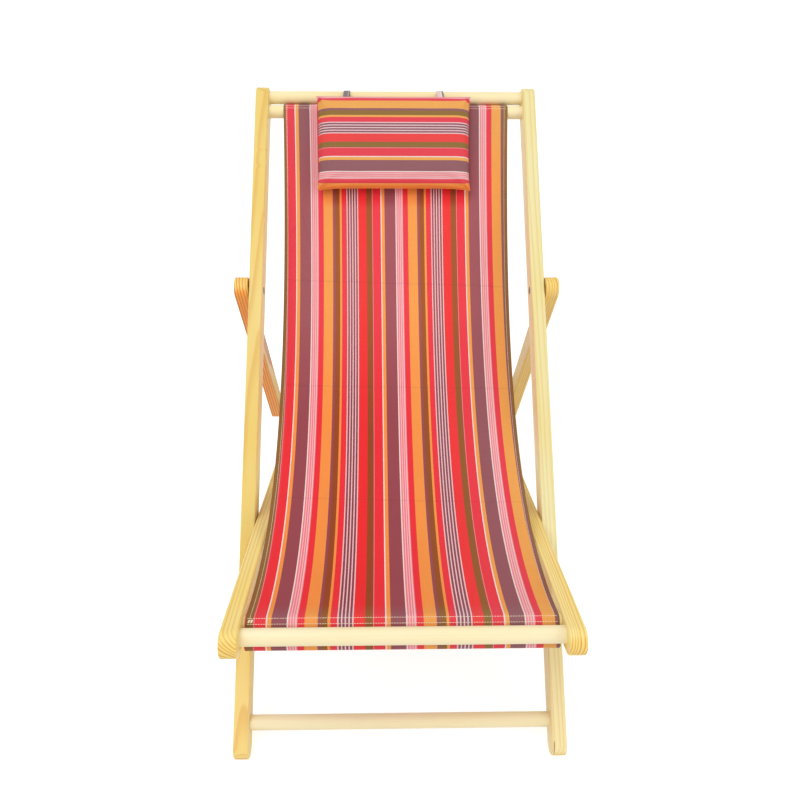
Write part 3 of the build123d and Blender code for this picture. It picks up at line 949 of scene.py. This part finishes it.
cross_rows = {
    "stitches_front_inner": (inner_dowel, 98, row_inset, "seat_frame"),
    "stitches_front_outer": (inner_dowel, 132, row_inset, "seat_frame"),
    "stitches_top_inner": (lower_dowel, 134, row_inset, "main_frame"),
    "stitches_top_outer": (lower_dowel, 108, row_inset, "main_frame"),
}
for row_name, where in cross_rows.items():
    lay_round(row_of_stitches(row_name, 2 * sling_half - 2 * row_inset), *where)
lock = row_of_stitches("stitches_front_lock", lock_long)
repeated(lock, lock_rows, lock_step)
lay_round(lock, inner_dowel, 123, lock_inset, "seat_frame")
print("cross rows", len(cross_rows), "and the lock")


# %% Rows down the folded edges
def poly_curve(name, points):
    """A curve object with straight pieces between its points."""
    curve = bpy.data.curves.new(name, "CURVE")
    curve.dimensions = "3D"
    spline = curve.splines.new("POLY")
    spline.points.add(len(points) - 1)
    for made, point in zip(spline.points, points):
        made.co = (*point, 1.0)
    obj = bpy.data.objects.new(name, curve)
    bpy.context.scene.collection.objects.link(obj)
    return obj


edge_inset = 0.0062
edge_start, edge_end = front_hang - 4, back_hang + 6
for side, row_name in ((-1, "stitches_left_edge"), (1, "stitches_right_edge")):
    row_x = side * (sling_half - edge_inset)
    line = []
    for number in range(edge_start, edge_end + 1):
        lift = thread_rise + sling_shape(number, row_x)
        line.append((row_x, *place(*path[number], 0, lift)))
    guide = poly_curve(row_name + "_guide", line)
    guide.data.twist_mode = "Z_UP"
    row = row_of_stitches(row_name, path_run[edge_end] - path_run[edge_start])
    bpy.context.view_layer.update()
    modify(row, "CURVE", object=guide)
    bpy.data.objects.remove(guide)
    settle(row)
    dress(row, thread.owner)
print("edge rows of", len(row.data.polygons), "faces each")

# %% Canvas and its edge rows take their place into their meshes, and the CAD sling is hidden
bend_start = (0.0, low_y + 0.30, low_z + 0.08)
bend_end = (0.0, low_y - 0.19, low_z + 0.04)
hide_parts("canvas_sling")
edge_rows = [bpy.data.objects[f"stitches_{side}_edge"] for side in ("left", "right")]
for strip in (canvas, *edge_rows):
    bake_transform(strip)
print("the canvas and", len(edge_rows), "rows bend")

# %% [markdown]
# ## The headrest cushion
#
# The headrest is a foam slab in a cover of two panels, with one seam round its middle. The slab
# pulls the seam in between the corners, so that these stand out like small ears, and the panels
# slope from the seam to a smaller face and back. How softly they slope is a balance of pressure and
# sewn edges, which cloth simulation finds by itself: a slightly flat cover is blown up a little
# while its back and its seam stay pinned.
#
# The cover starts as a cube in the cushion's own axes: x across, y up the canvas, z towards the
# sitter. The simulation may move no point by more than a few millimetres. Then the cover is turned
# to the slope of the canvas below it, and its place goes into the mesh.

# %% Cushion place
cushion_low, cushion_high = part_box("pillow_cover")
cushion_wide = 0.290
cushion_long = 0.175
seam_height = 0.017
face_height = 0.014
cushion_rise = 0.020
cushion_gap = 0.0012
cushion_x = (cushion_low.x + cushion_high.x) / 2
foot_turn = math.asinh(math.sinh(back_turn) - (cushion_long - cushion_rise) / catenary_size)
cushion_head = above_sling(back_turn, cushion_gap)
cushion_foot = above_sling(foot_turn, cushion_gap)
cushion_slope = slope_between(cushion_foot, cushion_head)
cushion_middle = place(cushion_head, cushion_slope, cushion_rise - cushion_long / 2)
cushion_turn = Matrix.Rotation(cushion_slope, 4, "X")
to_cushion = Matrix.Translation((cushion_x, *cushion_middle)) @ cushion_turn
print("cushion slope", round(math.degrees(cushion_slope), 2))

# %% Cushion box
bpy.ops.object.select_all(action="DESELECT")
bpy.ops.mesh.primitive_cube_add(size=1, location=(0, 0, 0.5))
bpy.ops.object.transform_apply()
cushion = bpy.context.active_object
cushion.name = "headrest_cushion"
seam_out = 0.001
half_x = cushion_wide / 2 - seam_out
half_y = cushion_long / 2 - seam_out
tall = seam_height + face_height
cushion.scale = (2 * half_x, 2 * half_y, tall)
bpy.ops.object.transform_apply()


def cut_in_slices(normal, low, high, count):
    """Even cuts through the whole of the active object."""
    bpy.ops.object.mode_set(mode="EDIT")
    for step in range(1, count):
        at = low + (high - low) * step / count
        bpy.ops.mesh.select_all(action="SELECT")
        bpy.ops.mesh.bisect(plane_co=tuple(at * n for n in normal), plane_no=normal)
    bpy.ops.object.mode_set(mode="OBJECT")


cut_in_slices((1, 0, 0), -half_x, half_x, 48)
cut_in_slices((0, 1, 0), -half_y, half_y, 28)
cut_in_slices((0, 0, 1), 0.0, 2 * seam_height, 2)
cut_in_slices((0, 0, 1), 0.0, seam_height, 4)
cut_in_slices((0, 0, 1), seam_height, tall, 5)

near = 1e-5
seam_rim = []
for vertex in cushion.data.vertices:
    x, y, z = vertex.co
    outside = abs(x) > half_x - near or abs(y) > half_y - near
    if outside and abs(z - seam_height) < near:
        seam_rim.append((math.atan2(y / half_y, x / half_x), vertex.index))
seam_rim = [index for _, index in sorted(seam_rim)]
back_points = [v.index for v in cushion.data.vertices if v.co.z < near]
print("cushion box", len(cushion.data.vertices), "points,", len(seam_rim), "on the sewn rim")

# %% Cushion drawn in between its corners
face_in, back_in = 0.0062, 0.0066
side_in, head_in, foot_in = 0.0038, 0.0008, 0.0046
crown, face_round = 0.0026, 0.0024
for vertex in cushion.data.vertices:
    x_share, y_share = vertex.co.x / half_x, vertex.co.y / half_y
    above = max(0.0, (vertex.co.z - seam_height) / face_height)
    below = max(0.0, (seam_height - vertex.co.z) / seam_height)
    slope_in = face_in * above**1.4 + back_in * below**1.4
    side_draw = side_in * (1 - abs(y_share) ** 5) + slope_in
    end_draw = (head_in if y_share > 0 else foot_in) * (1 - abs(x_share) ** 7) + slope_in
    vertex.co.x -= math.copysign(side_draw, vertex.co.x) * abs(x_share) ** 12
    vertex.co.y -= math.copysign(end_draw, vertex.co.y) * abs(y_share) ** 9
    rounded = max(abs(x_share) ** 40, abs(y_share) ** 28)
    vertex.co.z += (crown * (1 - y_share**2) - face_round * rounded) * above**4
print("cushion height", round(max(v.co.z for v in cushion.data.vertices), 4))

# %% Cushion filled with pressure
cloth_settings = {"quality": 6, "mass": 0.25, "tension_stiffness": 18, "shear_stiffness": 6}
cloth_settings |= {"compression_stiffness": 18, "bending_stiffness": 0.6, "use_pressure": True}
cloth_settings |= {"uniform_pressure_force": 1.6, "vertex_group_mass": "held"}
settle_frames = 20
most_move = 0.0025


def fill_with_pressure(obj, pinned):
    """Blows a sewn box up as cloth, then limits how far any point has moved."""
    rest = [vertex.co.copy() for vertex in obj.data.vertices]
    group = obj.vertex_groups.new(name="held")
    group.add(pinned, 1.0, "REPLACE")
    cloth = obj.modifiers.new("stuffing", "CLOTH")
    for key, value in cloth_settings.items():
        setattr(cloth.settings, key, value)
    cloth.settings.effector_weights.gravity = 0.0
    cloth.collision_settings.use_collision = False
    for number in range(1, settle_frames + 1):
        bpy.context.scene.frame_set(number)
    only(obj)
    bpy.ops.object.modifier_apply(modifier=cloth.name)
    bpy.context.scene.frame_set(1)
    furthest = 0.0
    for vertex, start in zip(obj.data.vertices, rest):
        move = vertex.co - start
        if move.length > most_move:
            vertex.co = start + move * (most_move / move.length)
        furthest = max(furthest, (vertex.co - start).length)
    obj.vertex_groups.clear()
    return furthest


moved = fill_with_pressure(cushion, back_points + seam_rim)
print("the stuffing moved the cover by up to", round(moved * 1000, 2), "mm")

# %% [markdown]
# The seam shows as a fine ridge where the panels meet. Its points are still known by number, so the
# ridge follows them: a closed curve with a small round bevel, turned into a mesh. The cushion gets
# one subdivision, with the seam creased so that it stays crisp.

# %% Cushion seam
seam = poly_curve("cushion_seam", [cushion.data.vertices[index].co for index in seam_rim])
seam.data.bevel_depth = 0.0010
seam.data.bevel_resolution = 2
seam.data.splines[0].use_cyclic_u = True
only(seam)
bpy.ops.object.convert(target="MESH")
seam = bpy.context.active_object
rim_pairs = {frozenset(pair) for pair in zip(seam_rim, seam_rim[1:] + seam_rim[:1])}
crease = cushion.data.attributes.new("crease_edge", "FLOAT", "EDGE")
for edge in cushion.data.edges:
    crease.data[edge.index].value = 0.9 if frozenset(edge.vertices) in rim_pairs else 0.0
modify(cushion, "SUBSURF", levels=1, render_levels=1)
for piece in (cushion, seam):
    piece.matrix_world = to_cushion
    settle(piece)
print("cushion", len(cushion.data.polygons), "faces")

# %% [markdown]
# The cushion is cut from the same cloth, turned sideways: its stripes run across, from orange at
# the top of the face to orange again by the lower seam. A place down the face is a plain distance
# along the slope, so Object coordinates serve without a UV map. On the upper and lower slopes there
# is more cloth than that, so the depth below the face is added at the foot and taken off at the
# head.

# %% Cushion finish
down_slope = (0.0, -math.cos(cushion_slope), -math.sin(cushion_slope))
into_cushion = (0.0, math.sin(cushion_slope), -math.cos(cushion_slope))
top_edge = (0.0, *place(cushion_middle, cushion_slope, cushion_long / 2))
face_middle = (0.0, *place(cushion_middle, cushion_slope, 0.0, tall))
extra_cloth = 0.58


def cushion_down(finish):
    """The place down the cloth of the cover, from its top edge."""
    point = finish.object_point()
    plain = finish.dot(point, down_slope) - Vector(top_edge).dot(down_slope)
    depth = finish.dot(point, into_cushion) - Vector(face_middle).dot(into_cushion)
    foot = plain.step(cushion_long - 0.020, cushion_long - 0.010)
    head = 1 - plain.step(0.009, 0.018)
    return plain + depth.upper_of(0.0) * extra_cloth * (foot - head)


def cushion_across(finish):
    """The place across the cover."""
    return finish.dot(finish.object_point(), (1.0, 0.0, 0.0))


def cushion_painted_sheen(over, down):
    """The face takes the strong painted sheen; the lower side takes none, as a painted shade."""
    return 0.0, 1 - over.step(cushion_long - 0.012, cushion_long - 0.004)


cushion_shrink = 0.961
cushion_repeat = repeat_width * cushion_shrink
orange_at = 0.0101
orange_share = sum(width for _, width in repeat_bands[:before_broad_orange])
orange_share /= sum(width for _, width in repeat_bands)
cushion_first = orange_at - orange_share * cushion_repeat
stripes_down = (repeat_bands, cushion_first, cushion_repeat, cushion_painted_sheen)
cushion_places = (cushion_down, cushion_across)
cushion_finish = woven("striped_cushion", *cushion_places, *stripes_down, layer=5.0)
for piece in (cushion, seam):
    dress(piece, cushion_finish)
    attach(piece, "headrest")
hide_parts("pillow_cover", "pillow_filling")
print("stripes on the cushion, every", round(cushion_repeat, 4))

# %% [markdown]
# ## Straps
#
# Two narrow straps hold the headrest. Each is sewn into the cushion's upper seam, runs up to the
# top dowel, goes round it and is sewn to itself. Like the canvas, a strap is a strip swept along a
# side view path, first straight and then round the bar. One is slate grey, the other has blush and
# cream with a slate edge, and both carry an even painted sheen.

# %% Straps
strap_spacing = 0.178
strap_half = 0.006
strap_thick = 0.0010
strap_overlap = 0.55
seam_dip = 0.001 * (1 - (strap_spacing / cushion_wide) ** 2)
strap_reach = cushion_long / 2 - seam_dip + 0.0008
strap_root = place(cushion_middle, cushion_slope, strap_reach - 0.002, seam_height)
root_heading = slope_between(upper_dowel, strap_root)
touch_angle = root_heading - math.acos(cloth_middle / math.dist(strap_root, upper_dowel))
strap_touch = place(upper_dowel, touch_angle, cloth_middle)
wrap_end = touch_angle - 2 * math.pi + strap_overlap
strap_path = [(strap_root, slope_between(strap_root, strap_touch))]
strap_path += straight(strap_root, strap_touch, 6)
strap_path += round_bar(upper_dowel, cloth_middle, touch_angle, wrap_end, 40)
strap_bands = {
    "headrest_tape_left": (-1, [("slate", 9.0), ("cream", 0.5), ("slate", 2.5)]),
    "headrest_tape_right": (1, [("cream", 1.6), ("blush", 4.0), ("cream", 3.4), ("slate", 3.0)]),
}


def strap_painted_sheen(over, down):
    """Straps take the faint and the strong painted sheen evenly."""
    return 1.0, 0.6


strap_places = (cloth_place("X", 2 * strap_half), cloth_place("Y", 0.13))
strap_repeat = 2 * strap_half + 1e-4
for tape_name, (side, bands) in strap_bands.items():
    tape_x = cushion_x + side * strap_spacing / 2
    section = [(tape_x + strap_half * share, 0.0) for share in (-1, -0.85, -0.5, 0, 0.5, 0.85, 1)]
    tape, tape_length = sweep(tape_name, strap_path, section, strap_thick)
    dress(tape, woven(tape_name + "_cloth", *strap_places, bands, 0.0, strap_repeat, strap_painted_sheen))
    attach(tape, "headrest")
    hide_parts(tape_name.replace("tape", "strap"))
    print(tape_name, "length", round(tape_length, 4))

# %% [markdown]
# ## Floor, light and camera
#
# The chair stands on a plain white floor under soft light: a big lamp from the front left, a weaker
# one from the right, and an even sky. The camera sees the floor and the sky whiter than the light
# they give, so the white behind the chair never has to come from over-lighting the wood.

# %% Floor
white = (1, 1, 1, 1)


def seen_apart(finish, lit, seen, share, output):
    """One shader for the light that falls on things, and a share of another for what is seen."""
    direct = finish.node("ShaderNodeLightPath", output="Is Camera Ray")
    for kind in ("Is Glossy Ray", "Is Transmission Ray"):
        direct = direct.upper_of(finish.node("ShaderNodeLightPath", output=kind))
    both = finish.node("ShaderNodeMixShader", None, {0: direct * share, 1: lit, 2: seen})
    finish.node(output, None, {"Surface": both})


paper = Finish("white_floor")
lit = paper.node("ShaderNodeBsdfDiffuse", None, {"Color": paint(244, 244, 244)})
glow = paper.node("ShaderNodeEmission", None, {"Color": white, "Strength": 2.0})
seen_apart(paper, lit, glow, 0.33, "ShaderNodeOutputMaterial")
bpy.ops.object.select_all(action="DESELECT")
bpy.ops.mesh.primitive_plane_add(size=60, location=(0, 0, -0.0005))
floor = bpy.context.active_object
floor.name = "floor"
dress(floor, paper.owner)

# %% Sky
sky = Finish("studio", bpy.data.worlds)
bpy.context.scene.world = sky.owner
lit = sky.node("ShaderNodeBackground", None, {"Color": white, "Strength": 0.70})
plain = sky.node("ShaderNodeBackground", None, {"Color": white, "Strength": 1.0})
seen_apart(sky, lit, plain, 1.0, "ShaderNodeOutputWorld")
print("white floor and sky")


# %% Lamps
def soft_lamp(name, location, aim, size, power):
    """A square soft lamp that faces a point."""
    bpy.ops.object.select_all(action="DESELECT")
    bpy.ops.object.light_add(type="AREA", location=location)
    lamp = bpy.context.active_object
    lamp.name = name
    lamp.data.size = size
    lamp.data.energy = power
    lamp.rotation_euler = (Vector(aim) - Vector(location)).to_track_quat("-Z", "Y").to_euler()


soft_lamp("key", (-2.0, -2.0, 4.65), (0, 0, 0.4), 3.4, 97)
soft_lamp("fill", (2.6, -1.6, 2.2), (0, 0, 0.4), 2.4, 28)
print("two lamps")

# %% [markdown]
# The camera looks down on the chair from in front, a little left of its middle. Its place, tilt and
# lens were found by lining the CAD model's corners up with the photograph.

# %% Camera
picture_pixels = 800
focal_pixels = 766.21
film_width = 36
camera_turn, camera_down, camera_roll = (math.radians(x) for x in (-1.427, 34.859, 0.607))
bpy.ops.object.select_all(action="DESELECT")
bpy.ops.object.camera_add(location=(-0.0240, -1.2034, 1.1802))
camera = bpy.context.active_object
turn = Matrix.Rotation(camera_turn, 4, "Z")
tilt = Matrix.Rotation(math.pi / 2 - camera_down, 4, "X")
roll = Matrix.Rotation(camera_roll, 4, "Z")
camera.rotation_euler = (turn @ tilt @ roll).to_euler()
camera.data.sensor_width = film_width
camera.data.lens = film_width * focal_pixels / picture_pixels
camera.data.clip_start = 0.02
camera.data.clip_end = 200
bpy.context.scene.camera = camera
bpy.context.scene.view_settings.view_transform = "Standard"
print("lens", round(camera.data.lens, 2), "mm")
